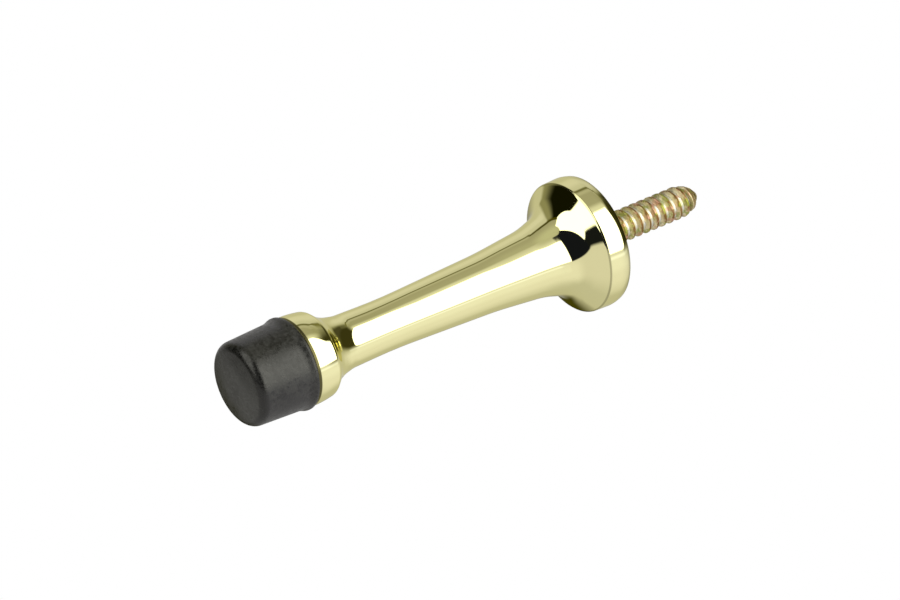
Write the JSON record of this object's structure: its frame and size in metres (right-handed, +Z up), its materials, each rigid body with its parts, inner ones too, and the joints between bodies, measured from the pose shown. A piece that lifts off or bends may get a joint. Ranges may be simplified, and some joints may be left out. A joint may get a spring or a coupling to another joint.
{
  "type": "wall door stop",
  "caption": "Rigid wall door stop: a polished brass post with a flared base, a black rubber bumper on its collar and a wood screw that fixes it to the wall.",
  "frame": {"origin": "centre of the base's flat back, which lies on the wall", "axes": "+Y along the screw, into the wall, so the post stands out along -Y, and +Z up"},
  "size_m": [0.0254, 0.1054, 0.0254],
  "materials": {
    "polished_brass": "polished bright brass, pale yellow",
    "black_rubber": "moulded black rubber, matt with a faint mottle",
    "yellow_zinc": "yellow zinc passivate with a faint green and pink sheen"
  },
  "bodies": {
    "root": {"post": "polished_brass", "rubber_bumper": "black_rubber", "wood_screw": "yellow_zinc"}
  },
  "joints": []
}
